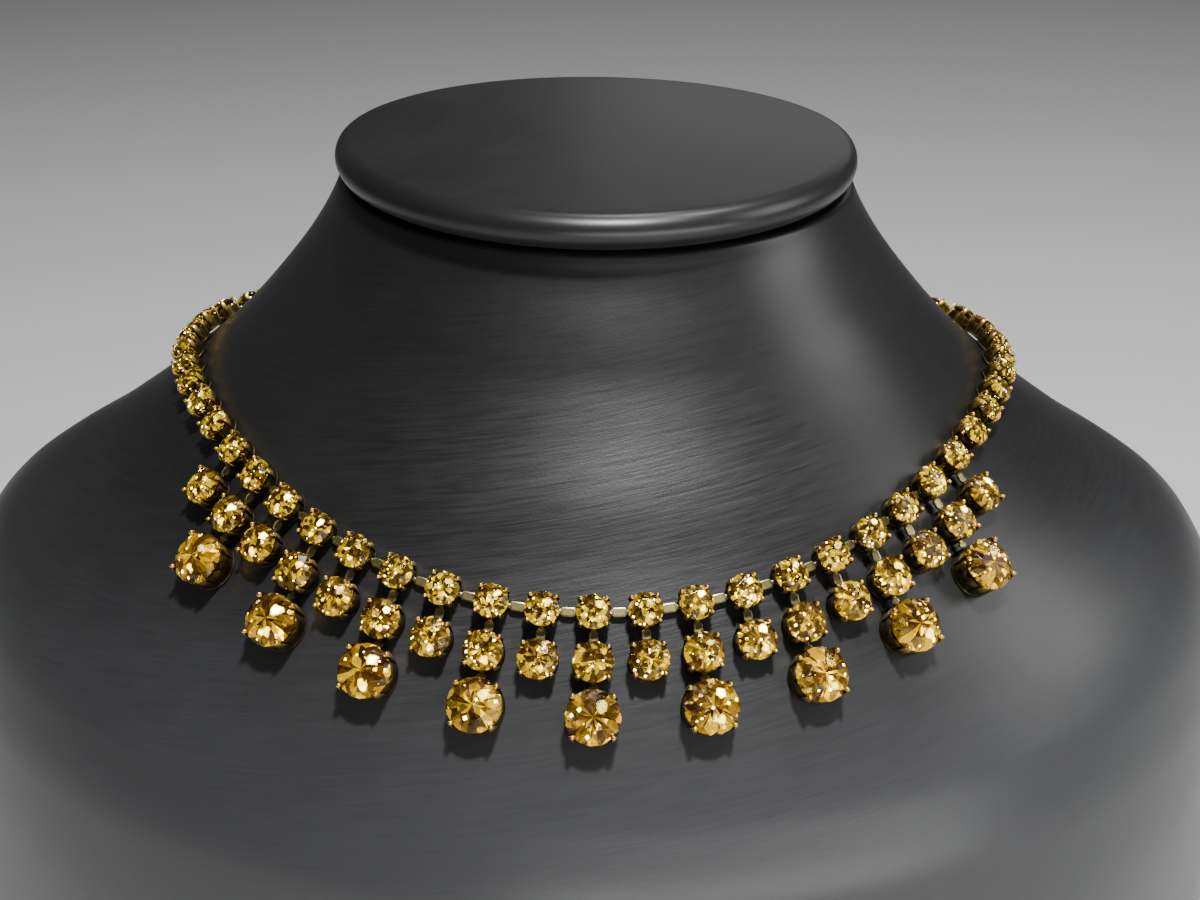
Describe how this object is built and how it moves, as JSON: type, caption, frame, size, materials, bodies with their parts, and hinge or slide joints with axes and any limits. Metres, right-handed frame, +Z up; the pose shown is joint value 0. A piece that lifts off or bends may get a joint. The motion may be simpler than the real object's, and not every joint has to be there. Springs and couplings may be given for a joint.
{
  "type": "rhinestone necklace on a neck bust",
  "caption": "Choker of prong-set round stones with a fringe of graded stone drops, held in its worn shape on a plain neck display bust.",
  "frame": {"origin": "middle of the bust's flat base, on the surface it stands on", "axes": "+Z up, +X to the viewer's right, the front of the bust and the drops face -Y"},
  "size_m": [0.258, 0.16, 0.1794],
  "materials": {
    "bust_leatherette": "satin charcoal-black leatherette with a fine sideways grain",
    "cap_leatherette": "satin charcoal-black leatherette",
    "small_stones": "foil-backed topaz glass, polished facets",
    "mid_stones": "foil-backed topaz glass, polished facets",
    "large_stones": "foil-backed deep topaz glass, polished facets",
    "setting_metal": "aged plated brass, bright on the prongs, dark in the settings",
    "link_metal": "aged pale brass, worn bright",
    "clasp_metal": "aged plated brass"
  },
  "bodies": {
    "root": {"bust_body": "bust_leatherette", "bust_cap": "cap_leatherette", "main_cups": "setting_metal", "main_stones": "small_stones", "main_links": "link_metal", "clasp": "clasp_metal", "mid_cups": "setting_metal", "mid_drop_links": "link_metal", "large_drop_links": "link_metal", "mid_stone_1": "mid_stones", "mid_stone_2": "mid_stones", "mid_stone_3": "mid_stones", "mid_stone_4": "mid_stones", "mid_stone_5": "mid_stones", "mid_stone_6": "mid_stones", "mid_stone_7": "mid_stones", "mid_stone_8": "mid_stones", "mid_stone_9": "mid_stones", "mid_stone_10": "mid_stones", "mid_stone_11": "mid_stones", "mid_stone_12": "mid_stones", "mid_stone_13": "mid_stones", "mid_stone_14": "mid_stones", "mid_stone_15": "mid_stones", "mid_stone_16": "mid_stones", "mid_stone_17": "mid_stones", "mid_stone_18": "mid_stones", "mid_stone_19": "mid_stones", "large_stone_1": "large_stones", "large_stone_2": "large_stones", "large_stone_3": "large_stones", "large_stone_4": "large_stones", "large_stone_5": "large_stones", "large_stone_6": "large_stones", "large_stone_7": "large_stones", "large_stone_8": "large_stones", "large_stone_9": "large_stones", "large_cup_1": "setting_metal", "large_cup_2": "setting_metal", "large_cup_3": "setting_metal", "large_cup_4": "setting_metal", "large_cup_5": "setting_metal", "large_cup_6": "setting_metal", "large_cup_7": "setting_metal", "large_cup_8": "setting_metal", "large_cup_9": "setting_metal"}
  },
  "joints": []
}
